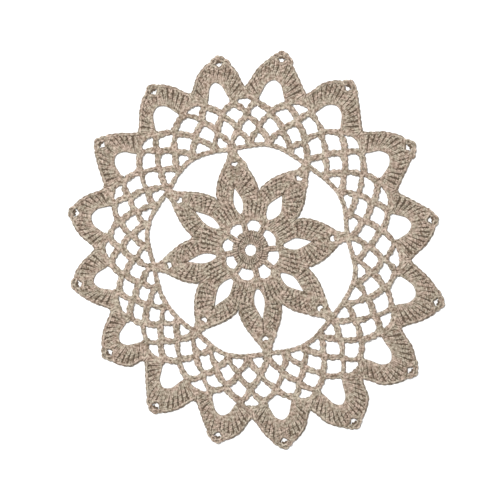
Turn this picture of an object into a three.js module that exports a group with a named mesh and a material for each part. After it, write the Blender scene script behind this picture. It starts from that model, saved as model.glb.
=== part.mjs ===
import * as THREE from "three";

// A round doily, crocheted in one piece from cotton yarn and lying flat: a centre ring with eight
// chain loops, a flower of eight petals, a chain ring, three rounds of net and sixteen scallops.
// Lengths are in millimetres. A place is an angle in degrees, anticlockwise from +X, and a radius
// from the flower's middle. The handwork is uneven, so each petal and each scallop has its own row.

// Yarn
const THICKNESS = 2.8;
const HALF_CHAIN = 2.5;
const YARN_COLOR = 0xa6907a;
const YARN_ROUGHNESS = 0.9;

// One row for each petal of the flower. Its tip hangs from the chain ring at (tip, joint), the ring
// bulges to "arc" halfway to the next tip, and (notch, notchRadius) lies between the two petals.
// Its slit runs out from slitRoot to slitEnd and is widest from slitFrom to slitTo.
// The chain loop after its spoke spans from loopFrom to loopTo and reaches out to loopTop.
const PETALS = [
  { tip: 8, joint: 88, arc: 94, notch: 34, notchRadius: 51.5, slitFrom: 1.5, slitTo: 14.5,
    slitRoot: 29.5, slitEnd: 56, loopFrom: 13, loopTo: 52, loopTop: 25.5 },
  { tip: 56, joint: 91.5, arc: 96, notch: 82, notchRadius: 55, slitFrom: 52, slitTo: 68,
    slitRoot: 31.5, slitEnd: 57, loopFrom: 68, loopTo: 97, loopTop: 27.5 },
  { tip: 100.5, joint: 92.5, arc: 97, notch: 123.5, notchRadius: 56, slitFrom: 100, slitTo: 109.5,
    slitRoot: 33.5, slitEnd: 58, loopFrom: 112, loopTo: 140, loopTop: 27 },
  { tip: 145, joint: 91.5, arc: 94.5, notch: 168, notchRadius: 52, slitFrom: 140.5, slitTo: 149.5,
    slitRoot: 34, slitEnd: 61, loopFrom: 155, loopTo: 180, loopTop: 26 },
  { tip: 190.5, joint: 88, arc: 90, notch: 213, notchRadius: 55.5, slitFrom: 185, slitTo: 195.5,
    slitRoot: 31, slitEnd: 58, loopFrom: 199, loopTo: 227, loopTop: 25.5 },
  { tip: 236.5, joint: 89, arc: 96.5, notch: 258.5, notchRadius: 56.5, slitFrom: 230, slitTo: 244.5,
    slitRoot: 30.5, slitEnd: 60.5, loopFrom: 245, loopTo: 278, loopTop: 28 },
  { tip: 279.5, joint: 94.5, arc: 98.5, notch: 300, notchRadius: 56.5, slitFrom: 274.5, slitTo: 285,
    slitRoot: 35, slitEnd: 63, loopFrom: 290, loopTo: 315, loopTop: 29.5 },
  { tip: 320, joint: 95, arc: 97, notch: 343, notchRadius: 54.5, slitFrom: 316.5, slitTo: 327.5,
    slitRoot: 34, slitEnd: 60.5, loopFrom: 327, loopTo: 355, loopTop: 27 },
];

// One row for each scallop of the edging. Its outer edge passes "rise" and "fall" at half height,
// its tip is at (tip, tipRadius), and (notch, notchRadius) lies before the next scallop.
// Its opening is widest from openFrom to openTo and reaches out to openTop.
const SCALLOPS = [
  { tip: 9.5, tipRadius: 172.5, rise: 1.8, fall: 15.5, notch: 21.8, notchRadius: 141.5,
    openFrom: 4.2, openTo: 14, openTop: 147.5 },
  { tip: 33, tipRadius: 177.5, rise: 27.6, fall: 41, notch: 46.5, notchRadius: 146.5,
    openFrom: 29.5, openTo: 39.7, openTop: 151.5 },
  { tip: 59, tipRadius: 178.5, rise: 53, fall: 66.5, notch: 70.2, notchRadius: 148.5,
    openFrom: 54, openTo: 64.5, openTop: 152 },
  { tip: 80.7, tipRadius: 182, rise: 75.7, fall: 87.5, notch: 92, notchRadius: 146.5,
    openFrom: 77.5, openTo: 86.5, openTop: 155.5 },
  { tip: 99.7, tipRadius: 178, rise: 94.7, fall: 107, notch: 111, notchRadius: 149.5,
    openFrom: 98.3, openTo: 106, openTop: 155 },
  { tip: 121.5, tipRadius: 175, rise: 115.3, fall: 128.3, notch: 133.7, notchRadius: 146,
    openFrom: 118.3, openTo: 128, openTop: 154.5 },
  { tip: 144.7, tipRadius: 172, rise: 138.7, fall: 151, notch: 157, notchRadius: 142,
    openFrom: 140.2, openTo: 149.8, openTop: 149 },
  { tip: 168, tipRadius: 168.5, rise: 161.5, fall: 175, notch: 179.5, notchRadius: 139.5,
    openFrom: 163, openTo: 173, openTop: 147.5 },
  { tip: 191.2, tipRadius: 165.5, rise: 184.3, fall: 198, notch: 203.3, notchRadius: 136,
    openFrom: 186.7, openTo: 196, openTop: 145 },
  { tip: 216, tipRadius: 165, rise: 208.5, fall: 224, notch: 226, notchRadius: 137,
    openFrom: 210.5, openTo: 219.7, openTop: 144.5 },
  { tip: 238.8, tipRadius: 172, rise: 232.5, fall: 245.5, notch: 249.7, notchRadius: 143,
    openFrom: 233, openTo: 242.3, openTop: 147.5 },
  { tip: 260, tipRadius: 177.5, rise: 254.7, fall: 267, notch: 270.5, notchRadius: 151,
    openFrom: 255.7, openTo: 264.5, openTop: 152 },
  { tip: 280, tipRadius: 182.5, rise: 274.5, fall: 287, notch: 290.5, notchRadius: 153,
    openFrom: 276.5, openTo: 285, openTop: 156.5 },
  { tip: 301, tipRadius: 188, rise: 294, fall: 308.5, notch: 311, notchRadius: 153.5,
    openFrom: 296.7, openTo: 304.7, openTop: 162.5 },
  { tip: 323, tipRadius: 188, rise: 314.7, fall: 329, notch: 332.7, notchRadius: 152,
    openFrom: 316.8, openTo: 326, openTop: 162 },
  { tip: 344.3, tipRadius: 182, rise: 337.7, fall: 351, notch: 356.4, notchRadius: 144,
    openFrom: 339.5, openTo: 349.7, openTop: 155 },
];

// Half outline of a petal: share of the height from notch to joint, share of the angle to the tip
const PETAL_SIDE = [
  { height: 0.15, angle: 0.87 },
  { height: 0.32, angle: 0.7 },
  { height: 0.5, angle: 0.49 },
  { height: 0.64, angle: 0.33 },
  { height: 0.76, angle: 0.2 },
  { height: 0.86, angle: 0.13 },
];
const NECK_FLARE = 3.3;
const RING_STEPS = 9;

// Half outline of a scallop: share of the height from notch to tip, share of the angle from the
// notch to the half height, or from the half height to the tip
const SCALLOP_LOW = { height: 0.2, angle: 0.45 };
const SCALLOP_HALF = { height: 0.5 };
const SCALLOP_HIGH = { height: 0.8, angle: 0.58 };
const SCALLOP_CROWN = { height: 0.95, angle: 0.8 };

// Joints of the net: share of the way from the chain ring out to the notches
const FIRST_ROUND = 0.3;
const SECOND_ROUND = 0.59;
const SECOND_ROUND_BELOW_NOTCH = 0.56;
const THIRD_ROUND = 0.775;
const JOINT_PAST_OPENING = 1.7;
const NET_LEAN = 1.7;

// Gaps
const CENTRE_HOLE_RADIUS = 5;
const LOOP_FLOOR_RADIUS = 17;
const LOOP_SHOULDER = 0.41;
const LOOP_RISE = 0.9;
const SLIT_WIDEST = 0.37;
const SLIT_SPREAD = 1.12;
const CORNER_SHARE = 0.42;
const FIRST_GAP_FOOT = 0.62;
const FIRST_GAP_HIP = 0.36;
const FIRST_GAP_DROP = 5.6;
const RING_KNOT = 2.3;
const SMALL_GAP_RISE = 6;
const OPENING_FLOOR = 4.1;
const OPENING_WIDEST = 0.35;
const OPENING_SHOULDER = 0.74;
const OPENING_NARROW = 0.62;
const PETAL_EYELET_DROP = 12;
const SCALLOP_EYELET_DROP = 8.5;
const EYELET_RADIUS = 2.1;
const EYELET_SIDES = 8;
const CENTRE_HOLE_SIDES = 14;
const CURVE_STEPS = 2;

const FULL_TURN = 360;
const ORIGIN = new THREE.Vector2();
const { degToRad, euclideanModulo, lerp } = THREE.MathUtils;

function polar(angle, radius) {
  return new THREE.Vector2(radius, 0).rotateAround(ORIGIN, degToRad(angle));
}

function midway(a, b) {
  return lerp(a, b, 0.5);
}

// Rows go round: row 16 of 16 is row 0 again, and its angles are a full turn further on.
function around(rows, index) {
  return rows[euclideanModulo(index, rows.length)];
}

function angleOf(rows, index, key) {
  return around(rows, index)[key] + Math.floor(index / rows.length) * FULL_TURN;
}

// A radius that swings smoothly round the turn through stations in order of angle.
function swing(stations, angle) {
  const start = stations[0].angle;
  const turned = euclideanModulo(angle - start, FULL_TURN) + start;
  const last = stations.findLastIndex((station) => station.angle <= turned);
  const from = stations[last];
  const span = angleOf(stations, last + 1, "angle") - from.angle;
  const share = (turned - from.angle) / span;
  return lerp(from.radius, around(stations, last + 1).radius, THREE.MathUtils.smoothstep(share, 0, 1));
}

// Skeleton of the net

const ringStations = PETALS.flatMap((petal, i) => [
  { angle: petal.tip, radius: petal.joint },
  { angle: midway(petal.tip, angleOf(PETALS, i + 1, "tip")), radius: petal.arc },
]);

const notchStations = SCALLOPS.map((scallop) => ({
  angle: scallop.notch,
  radius: scallop.notchRadius,
}));

function ringRadius(angle) {
  return swing(ringStations, angle);
}

function netRadius(angle, share) {
  return lerp(ringRadius(angle), swing(notchStations, angle), share);
}

// The net leans: each round starts a little behind the one outside it.
function leaned(angle, share) {
  return angle - NET_LEAN * (1 - share / THIRD_ROUND);
}

function netJoint(angle, share) {
  return polar(leaned(angle, share), netRadius(leaned(angle, share), share));
}

// Two columns of net to each scallop: one below its opening and one below the notch after it.
const columns = SCALLOPS.flatMap((scallop) => [
  { angle: midway(scallop.openFrom, scallop.openTo) },
  { angle: scallop.notch },
]);

function columnAngle(index) {
  return angleOf(columns, index, "angle");
}

function betweenAngle(index) {
  return midway(columnAngle(index), columnAngle(index + 1));
}

function ringJoint(index) {
  return netJoint(columnAngle(index), 0);
}

function firstJoint(index) {
  return netJoint(betweenAngle(index), FIRST_ROUND);
}

function secondJoint(index) {
  const share = index % 2 === 0 ? SECOND_ROUND : SECOND_ROUND_BELOW_NOTCH;
  return netJoint(columnAngle(index), share);
}

// Joint before the opening of a scallop, and joint after it
function jointBefore(index) {
  return netJoint(angleOf(SCALLOPS, index, "openFrom") - JOINT_PAST_OPENING, THIRD_ROUND);
}

function jointAfter(index) {
  return netJoint(angleOf(SCALLOPS, index, "openTo") + JOINT_PAST_OPENING, THIRD_ROUND);
}

// Moves each side of an anticlockwise polygon inwards by half a chain.
function insideChains(corners) {
  const sides = corners.map((corner, i) => {
    const along = around(corners, i + 1).clone().sub(corner).normalize();
    const inward = new THREE.Vector2(-along.y, along.x);
    return { start: corner.clone().addScaledVector(inward, HALF_CHAIN), along };
  });
  return sides.map((side, i) => {
    const before = around(sides, i - 1);
    const gap = side.start.clone().sub(before.start);
    const reach = gap.cross(side.along) / before.along.cross(side.along);
    return before.start.clone().addScaledVector(before.along, reach);
  });
}

// Gaps as closed paths: with rounded corners, smooth through a few points, or round
function roundedGap(corners) {
  const gap = new THREE.Path();
  corners.forEach((corner, i) => {
    const entry = corner.clone().lerp(around(corners, i - 1), CORNER_SHARE);
    const exit = corner.clone().lerp(around(corners, i + 1), CORNER_SHARE);
    if (i === 0) gap.moveTo(entry.x, entry.y);
    else gap.lineTo(entry.x, entry.y);
    gap.quadraticCurveTo(corner.x, corner.y, exit.x, exit.y);
  });
  gap.closePath();
  return gap;
}

function smoothGap(points) {
  const gap = new THREE.Path();
  gap.moveTo(points[0].x, points[0].y);
  gap.splineThru([...points.slice(1), points[0]]);
  return gap;
}

function roundGap(centre, radius, sides) {
  const corners = Array.from({ length: sides }, (_, i) => polar((i * FULL_TURN) / sides, radius));
  return new THREE.Path(corners.map((corner) => corner.add(centre)));
}

// Gaps of the centre and the flower

function loopGap(petal) {
  const middle = midway(petal.loopFrom, petal.loopTo);
  const shoulder = (petal.loopTo - petal.loopFrom) * LOOP_SHOULDER;
  const top = petal.loopTop + LOOP_RISE;
  return roundedGap([
    polar(petal.loopFrom, LOOP_FLOOR_RADIUS),
    polar(middle - shoulder, top),
    polar(middle + shoulder, top),
    polar(petal.loopTo, LOOP_FLOOR_RADIUS),
    polar(middle, LOOP_FLOOR_RADIUS),
  ]);
}

function slitGap(petal) {
  const middle = midway(petal.slitFrom, petal.slitTo);
  const widest = lerp(petal.slitRoot, petal.slitEnd, SLIT_WIDEST);
  return smoothGap([
    polar(middle, petal.slitEnd),
    polar(lerp(middle, petal.slitTo, SLIT_SPREAD), widest),
    polar(middle, petal.slitRoot),
    polar(lerp(middle, petal.slitFrom, SLIT_SPREAD), widest),
  ]);
}

function petalEyelet(petal) {
  return roundGap(polar(petal.tip, petal.joint - PETAL_EYELET_DROP), EYELET_RADIUS, EYELET_SIDES);
}

// One side of a petal, from the notch beside it to its neck.
function petalSide(tip, joint, notch, notchRadius) {
  return PETAL_SIDE.map(({ height, angle }) =>
    polar(lerp(tip, notch, angle), lerp(notchRadius, joint, height)),
  );
}

// The space between two petals and the chain ring.
function petalSpace(petal, i) {
  const next = around(PETALS, i + 1);
  const nextTip = angleOf(PETALS, i + 1, "tip");
  const outward = petalSide(petal.tip, petal.joint, petal.notch, petal.notchRadius);
  const inward = petalSide(nextTip, next.joint, petal.notch, petal.notchRadius).reverse();
  const underRing = Array.from({ length: RING_STEPS }, (_, step) => {
    const share = step / (RING_STEPS - 1);
    const angle = lerp(petal.tip + NECK_FLARE, nextTip - NECK_FLARE, share);
    return polar(angle, ringRadius(angle) - HALF_CHAIN);
  });
  const notch = polar(petal.notch, petal.notchRadius);
  return new THREE.Path([notch, ...outward, ...underRing, ...inward]);
}

// Gaps of the net, from the chain ring outwards

function firstRoundGap(index) {
  const middle = leaned(betweenAngle(index), FIRST_ROUND);
  const top = netRadius(middle, FIRST_ROUND) - FIRST_GAP_DROP;
  const towards = (column, share) => lerp(middle, leaned(columnAngle(column), 0), share);
  const foot = (column) => {
    const angle = towards(column, FIRST_GAP_FOOT);
    return polar(angle, ringRadius(angle) + HALF_CHAIN);
  };
  const hip = (column) => polar(towards(column, FIRST_GAP_HIP), top);
  return roundedGap([foot(index), hip(index), hip(index + 1), foot(index + 1)]);
}

function secondRoundGap(index) {
  const foot = ringJoint(index);
  foot.setLength(foot.length() + RING_KNOT);
  const corners = [foot, firstJoint(index - 1), secondJoint(index), firstJoint(index)];
  return roundedGap(insideChains(corners));
}

function thirdRoundGap(index) {
  const scallop = Math.floor((index + 1) / 2);
  const outer = index % 2 === 0 ? jointAfter(scallop) : jointBefore(scallop);
  const corners = [firstJoint(index), secondJoint(index), outer, secondJoint(index + 1)];
  return roundedGap(insideChains(corners));
}

function smallGap(scallop, i) {
  const top = polar(scallop.notch, netRadius(scallop.notch, THIRD_ROUND) + SMALL_GAP_RISE);
  const corners = [secondJoint(2 * i + 1), jointAfter(i), top, jointBefore(i + 1)];
  return roundedGap(insideChains(corners));
}

// Gaps and outline of the edging

function openingGap(scallop) {
  const middle = midway(scallop.openFrom, scallop.openTo);
  const floor = netRadius(middle, SECOND_ROUND) + OPENING_FLOOR;
  const widest = lerp(floor, scallop.openTop, OPENING_WIDEST);
  const shoulder = lerp(widest, scallop.openTop, OPENING_SHOULDER);
  return smoothGap([
    polar(middle, floor),
    polar(scallop.openFrom, widest),
    polar(lerp(middle, scallop.openFrom, OPENING_NARROW), shoulder),
    polar(middle, scallop.openTop),
    polar(lerp(middle, scallop.openTo, OPENING_NARROW), shoulder),
    polar(scallop.openTo, widest),
  ]);
}

function scallopEyelet(scallop) {
  const centre = polar(scallop.tip, scallop.tipRadius - SCALLOP_EYELET_DROP);
  return roundGap(centre, EYELET_RADIUS, EYELET_SIDES);
}

// One side of a scallop, from the notch up to just below its tip.
function scallopSide(scallop, shoulder, notch, notchRadius) {
  const at = (angle, height) => polar(angle, lerp(notchRadius, scallop.tipRadius, height));
  return [
    at(lerp(notch, shoulder, SCALLOP_LOW.angle), SCALLOP_LOW.height),
    at(shoulder, SCALLOP_HALF.height),
    at(lerp(shoulder, scallop.tip, SCALLOP_HIGH.angle), SCALLOP_HIGH.height),
    at(lerp(shoulder, scallop.tip, SCALLOP_CROWN.angle), SCALLOP_CROWN.height),
  ];
}

function outline() {
  const shape = new THREE.Shape();
  const lastNotch = around(SCALLOPS, -1);
  const start = polar(lastNotch.notch, lastNotch.notchRadius);
  shape.moveTo(start.x, start.y);
  SCALLOPS.forEach((scallop, i) => {
    const before = angleOf(SCALLOPS, i - 1, "notch");
    const beforeRadius = around(SCALLOPS, i - 1).notchRadius;
    shape.splineThru([
      ...scallopSide(scallop, scallop.rise, before, beforeRadius),
      polar(scallop.tip, scallop.tipRadius),
      ...scallopSide(scallop, scallop.fall, scallop.notch, scallop.notchRadius).reverse(),
      polar(scallop.notch, scallop.notchRadius),
    ]);
  });
  return shape;
}

function doilyGeometry() {
  const shape = outline();
  shape.holes = [
    roundGap(ORIGIN, CENTRE_HOLE_RADIUS, CENTRE_HOLE_SIDES),
    ...PETALS.map(loopGap),
    ...PETALS.map(slitGap),
    ...PETALS.map(petalEyelet),
    ...PETALS.map(petalSpace),
    ...columns.map((_, i) => firstRoundGap(i)),
    ...columns.map((_, i) => secondRoundGap(i)),
    ...columns.map((_, i) => thirdRoundGap(i)),
    ...SCALLOPS.map(smallGap),
    ...SCALLOPS.map(openingGap),
    ...SCALLOPS.map(scallopEyelet),
  ];
  const geometry = new THREE.ExtrudeGeometry(shape, {
    depth: THICKNESS,
    bevelEnabled: false,
    curveSegments: CURVE_STEPS,
  });
  geometry.computeBoundingBox();
  const middle = geometry.boundingBox.getCenter(new THREE.Vector3());
  return geometry.translate(-middle.x, -middle.y, 0);
}

const yarn = new THREE.MeshStandardMaterial({
  color: YARN_COLOR,
  roughness: YARN_ROUGHNESS,
  metalness: 0,
});
const doily = new THREE.Mesh(doilyGeometry(), yarn);
doily.name = "doily";

const part = new THREE.Group();
part.add(doily);

export default part;
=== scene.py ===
import bpy
import numpy as np
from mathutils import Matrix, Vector


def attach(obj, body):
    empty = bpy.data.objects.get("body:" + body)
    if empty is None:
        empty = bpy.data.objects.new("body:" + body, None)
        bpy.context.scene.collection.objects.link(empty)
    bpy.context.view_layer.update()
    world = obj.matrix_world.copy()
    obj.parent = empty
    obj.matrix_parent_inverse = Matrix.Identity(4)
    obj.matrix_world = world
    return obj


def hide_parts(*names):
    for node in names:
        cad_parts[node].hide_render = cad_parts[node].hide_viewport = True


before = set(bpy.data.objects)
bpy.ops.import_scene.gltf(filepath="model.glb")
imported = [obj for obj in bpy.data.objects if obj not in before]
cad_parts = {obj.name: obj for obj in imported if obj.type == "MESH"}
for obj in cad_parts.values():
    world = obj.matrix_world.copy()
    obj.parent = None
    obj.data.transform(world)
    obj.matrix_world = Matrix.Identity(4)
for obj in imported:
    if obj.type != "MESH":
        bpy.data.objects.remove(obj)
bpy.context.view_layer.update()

# A round crocheted doily, stitch by stitch, on the skeleton of its solid: centre ring, spokes and
# chain loops, fans, eight petals, a chain ring, three rounds of net and sixteen scallops.
# Lengths are in millimetres and turn into metres when a mesh is made. A place is an angle in
# degrees, anticlockwise from +X, and a radius from the flower's middle.
MM = 0.001
SEED = 7
rng = np.random.default_rng(SEED)

# Radius of the yarn in the rows, the net, the chain ring and the centre ring, and the height it runs at
ROW_YARN_RADIUS = 1.0
NET_YARN_RADIUS = 1.45
RING_YARN_RADIUS = 1.2
HUB_YARN_RADIUS = 0.74
MID_HEIGHT = 1.65

# One row for each petal of the flower, as in the solid
PETALS = [
    dict(tip=8, joint=88, arc=94, notch=34, notch_radius=51.5, slit_from=1.5, slit_to=14.5,
         slit_root=29.5, slit_end=56, loop_from=13, loop_to=52, loop_top=25.5),
    dict(tip=56, joint=91.5, arc=96, notch=82, notch_radius=55, slit_from=52, slit_to=68,
         slit_root=31.5, slit_end=57, loop_from=68, loop_to=97, loop_top=27.5),
    dict(tip=100.5, joint=92.5, arc=97, notch=123.5, notch_radius=56, slit_from=100, slit_to=109.5,
         slit_root=33.5, slit_end=58, loop_from=112, loop_to=140, loop_top=27),
    dict(tip=145, joint=91.5, arc=94.5, notch=168, notch_radius=52, slit_from=140.5, slit_to=149.5,
         slit_root=34, slit_end=61, loop_from=155, loop_to=180, loop_top=26),
    dict(tip=190.5, joint=88, arc=90, notch=213, notch_radius=55.5, slit_from=185, slit_to=195.5,
         slit_root=31, slit_end=58, loop_from=199, loop_to=227, loop_top=25.5),
    dict(tip=236.5, joint=89, arc=96.5, notch=258.5, notch_radius=56.5, slit_from=230, slit_to=244.5,
         slit_root=30.5, slit_end=60.5, loop_from=245, loop_to=278, loop_top=28),
    dict(tip=279.5, joint=94.5, arc=98.5, notch=300, notch_radius=56.5, slit_from=274.5, slit_to=285,
         slit_root=35, slit_end=63, loop_from=290, loop_to=315, loop_top=29.5),
    dict(tip=320, joint=95, arc=97, notch=343, notch_radius=54.5, slit_from=316.5, slit_to=327.5,
         slit_root=34, slit_end=60.5, loop_from=327, loop_to=355, loop_top=27),
]

# One row for each scallop of the edging, as in the solid
SCALLOPS = [
    dict(tip=9.5, tip_radius=172.5, rise=1.8, fall=15.5, notch=21.8, notch_radius=141.5,
         open_from=4.2, open_to=14, open_top=147.5),
    dict(tip=33, tip_radius=177.5, rise=27.6, fall=41, notch=46.5, notch_radius=146.5,
         open_from=29.5, open_to=39.7, open_top=151.5),
    dict(tip=59, tip_radius=178.5, rise=53, fall=66.5, notch=70.2, notch_radius=148.5,
         open_from=54, open_to=64.5, open_top=152),
    dict(tip=80.7, tip_radius=182, rise=75.7, fall=87.5, notch=92, notch_radius=146.5,
         open_from=77.5, open_to=86.5, open_top=155.5),
    dict(tip=99.7, tip_radius=178, rise=94.7, fall=107, notch=111, notch_radius=149.5,
         open_from=98.3, open_to=106, open_top=155),
    dict(tip=121.5, tip_radius=175, rise=115.3, fall=128.3, notch=133.7, notch_radius=146,
         open_from=118.3, open_to=128, open_top=154.5),
    dict(tip=144.7, tip_radius=172, rise=138.7, fall=151, notch=157, notch_radius=142,
         open_from=140.2, open_to=149.8, open_top=149),
    dict(tip=168, tip_radius=168.5, rise=161.5, fall=175, notch=179.5, notch_radius=139.5,
         open_from=163, open_to=173, open_top=147.5),
    dict(tip=191.2, tip_radius=165.5, rise=184.3, fall=198, notch=203.3, notch_radius=136,
         open_from=186.7, open_to=196, open_top=145),
    dict(tip=216, tip_radius=165, rise=208.5, fall=224, notch=226, notch_radius=137,
         open_from=210.5, open_to=219.7, open_top=144.5),
    dict(tip=238.8, tip_radius=172, rise=232.5, fall=245.5, notch=249.7, notch_radius=143,
         open_from=233, open_to=242.3, open_top=147.5),
    dict(tip=260, tip_radius=177.5, rise=254.7, fall=267, notch=270.5, notch_radius=151,
         open_from=255.7, open_to=264.5, open_top=152),
    dict(tip=280, tip_radius=182.5, rise=274.5, fall=287, notch=290.5, notch_radius=153,
         open_from=276.5, open_to=285, open_top=156.5),
    dict(tip=301, tip_radius=188, rise=294, fall=308.5, notch=311, notch_radius=153.5,
         open_from=296.7, open_to=304.7, open_top=162.5),
    dict(tip=323, tip_radius=188, rise=314.7, fall=329, notch=332.7, notch_radius=152,
         open_from=316.8, open_to=326, open_top=162),
    dict(tip=344.3, tip_radius=182, rise=337.7, fall=351, notch=356.4, notch_radius=144,
         open_from=339.5, open_to=349.7, open_top=155),
]

# Half outlines as far as the eyelets, as in the solid: share of the height, share of the angle
PETAL_SIDE = [(0.15, 0.87), (0.32, 0.7), (0.5, 0.49), (0.64, 0.33), (0.76, 0.2)]
SCALLOP_LOW = (0.2, 0.45)
SCALLOP_HALF = 0.5
SCALLOP_HIGH = (0.8, 0.58)

# Joints of the net, as in the solid: share of the way from the chain ring out to the notches
FIRST_ROUND = 0.3
SECOND_ROUND = 0.59
SECOND_ROUND_BELOW_NOTCH = 0.56
THIRD_ROUND = 0.775
JOINT_PAST_OPENING = 1.7
NET_LEAN = 1.7
FULL_TURN = 360


# Places

def polar(angle, radius):
    turn = np.radians(angle)
    return np.array([radius * np.cos(turn), radius * np.sin(turn)])


def mix(a, b, share):
    return a + (b - a) * share


def midway(a, b):
    return mix(a, b, 0.5)


def around(rows, index):
    return rows[index % len(rows)]


def angle_of(rows, index, key):
    return around(rows, index)[key] + index // len(rows) * FULL_TURN


def smooth(share):
    held = np.clip(share, 0, 1)
    return held * held * (3 - 2 * held)


def swing(stations, angle):
    """A radius that swings smoothly round the turn through (angle, radius) stations."""
    start = stations[0][0]
    turned = (angle - start) % FULL_TURN + start
    rows = stations + [(start + FULL_TURN, stations[0][1])]
    last = max(i for i, row in enumerate(rows[:-1]) if row[0] <= turned)
    (from_angle, from_radius), (to_angle, to_radius) = rows[last], rows[last + 1]
    return mix(from_radius, to_radius, smooth((turned - from_angle) / (to_angle - from_angle)))


RING_STATIONS = []
for i, petal in enumerate(PETALS):
    RING_STATIONS.append((petal["tip"], petal["joint"]))
    RING_STATIONS.append((midway(petal["tip"], angle_of(PETALS, i + 1, "tip")), petal["arc"]))
NOTCH_STATIONS = [(row["notch"], row["notch_radius"]) for row in SCALLOPS]
COLUMNS = []
for row in SCALLOPS:
    COLUMNS.append(dict(angle=midway(row["open_from"], row["open_to"])))
    COLUMNS.append(dict(angle=row["notch"]))


def ring_radius(angle):
    return swing(RING_STATIONS, angle)


def net_radius(angle, share):
    return mix(ring_radius(angle), swing(NOTCH_STATIONS, angle), share)


def net_joint(angle, share):
    leaned = angle - NET_LEAN * (1 - share / THIRD_ROUND)
    return polar(leaned, net_radius(leaned, share))


def column_angle(index):
    return angle_of(COLUMNS, index, "angle")


def ring_joint(index):
    return net_joint(column_angle(index), 0)


def first_joint(index):
    return net_joint(midway(column_angle(index), column_angle(index + 1)), FIRST_ROUND)


def second_joint(index):
    return net_joint(column_angle(index), SECOND_ROUND_BELOW_NOTCH if index % 2 else SECOND_ROUND)


def joint_before(index):
    return net_joint(angle_of(SCALLOPS, index, "open_from") - JOINT_PAST_OPENING, THIRD_ROUND)


def joint_after(index):
    return net_joint(angle_of(SCALLOPS, index, "open_to") + JOINT_PAST_OPENING, THIRD_ROUND)


def third_joint(index):
    scallop = (index + 1) // 2
    return joint_after(scallop) if index % 2 == 0 else joint_before(scallop)


# Curves

def spline(points, steps):
    """A smooth curve through a few points, with some steps between each two."""
    knots = np.asarray(points, float)
    ends = np.vstack([2 * knots[0] - knots[1], knots, 2 * knots[-1] - knots[-2]])
    t = np.linspace(0, 1, steps, endpoint=False)[:, None]
    runs = []
    for a, b, c, d in zip(ends, ends[1:], ends[2:], ends[3:]):
        bend = (2 * a - 5 * b + 4 * c - d) * t ** 2 + (3 * b - a - 3 * c + d) * t ** 3
        runs.append(b + 0.5 * ((c - a) * t + bend))
    return np.vstack(runs + [knots[-1:]])


class Route:
    """A flat curve that is read by its share of the whole length, and runs on straight past its ends."""

    def __init__(self, points, steps=16):
        dense = spline(points, steps)
        pieces = np.linalg.norm(np.diff(dense, axis=0), axis=1)
        self.points = dense
        self.length = pieces.sum()
        self.shares = np.concatenate([[0], np.cumsum(pieces)]) / self.length

    def at(self, share):
        share = np.asarray(share, float)
        held = np.clip(share, 0, 1)
        place = np.stack([np.interp(held, self.shares, self.points[:, k]) for k in (0, 1)], -1)
        first = (self.points[1] - self.points[0]) / (self.shares[1] * self.length)
        last = (self.points[-1] - self.points[-2]) / ((1 - self.shares[-2]) * self.length)
        past = (share - held)[..., None] * self.length
        return place + past * np.where(past < 0, first, last)

    def ahead(self, share, reach=0.01):
        step = self.at(np.asarray(share) + reach) - self.at(np.asarray(share) - reach)
        return step / np.linalg.norm(step, axis=-1, keepdims=True)


def left_of(direction):
    return np.stack([-direction[..., 1], direction[..., 0]], -1)


# Yarn paths

# One chain stitch: share of the pitch, sideways in half widths, height in millimetres.
# The loop's legs lie in front, its head ducks behind the next legs, and a bump runs behind.
# Here and below, a value that ends in UNEVEN is the spread of a random share or length.
CHAIN_LOOP = np.array([
    (0.0, -0.14, -0.2),
    (0.26, -0.56, 0.3),
    (0.56, -0.9, 0.46),
    (0.88, -1.0, 0.34),
    (1.12, -0.6, 0.0),
    (1.2, 0.0, -0.24),
    (1.12, 0.6, 0.0),
    (0.88, 1.0, 0.34),
    (0.56, 0.9, 0.46),
    (0.26, 0.56, 0.3),
    (0.0, 0.14, -0.2),
])
CHAIN_BUMP = np.array([
    (0.14, 0.1, -0.58),
    (0.5, 0.0, -0.7),
    (0.86, -0.1, -0.58),
])
CHAIN_PITCH = 4.9
CHAIN_HALF_WIDTH = 1.88
CHAIN_CURVE_STEPS = 8
CHAIN_STEPS = 22
CHAIN_LEAST = 2
CHAIN_ROLL = 0.55
ROLL_LIFT = 0.5
CHAIN_WIDTH_UNEVEN = 0.07
CHAIN_PITCH_UNEVEN = 0.16

# Tall stitches: two legs of a post side by side, with a gap to the next post that opens with the
# height, a leg that wraps round the other on the way up, and a rim that tilts out. Heights are shares
# of the post's height. A row of GAPS is a height and the gap there. WRAPS are the heights where a leg
# turns round the post, and OVER is how far a turn reaches past it.
EDGE_PITCH = 5.45
ROW_LEAST = 2
STRAND_STEPS = 64
LEG_STEPS = 12
LEG_FOOT = 0.05
LEG_TOP = 0.98
LEG_SPLAY = 0.93
LEG_SPREAD = 0.22
LEG_LEAST = 0.35
FOOT_SHARE = 0.7
GAPS = [(0.15, -0.2), (0.4, 0.6), (0.6, 1.15), (0.9, 1.7)]
WRAPS = (0.46, 0.68)
PETAL_WRAPS = (0.36, 0.54, 0.72)
WRAP_RISE = 0.13
WRAP_HEIGHT_UNEVEN = 0.022
WRAP_WIDTH_UNEVEN = 0.06
WRAP_STEPS = 9
WRAP_OVER = 1.1
PETAL_WRAP_OVER = 1.3
EDGE_WRAP_OVER = 0.4
END_WRAP_OVER = -0.3
WRAP_DEPTH = 0.7
WRAP_FORWARD = 0.5
RIM_TILT = np.radians(36)
RIM_HALF_WIDTH = 1.3
RIM_UNEVEN = 0.08
HEAD_UNEVEN = 0.2
FOOT_UNEVEN = 0.1
POST_UNEVEN = 0.02
POST_UNEVEN_ABOVE = 0.4

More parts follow.
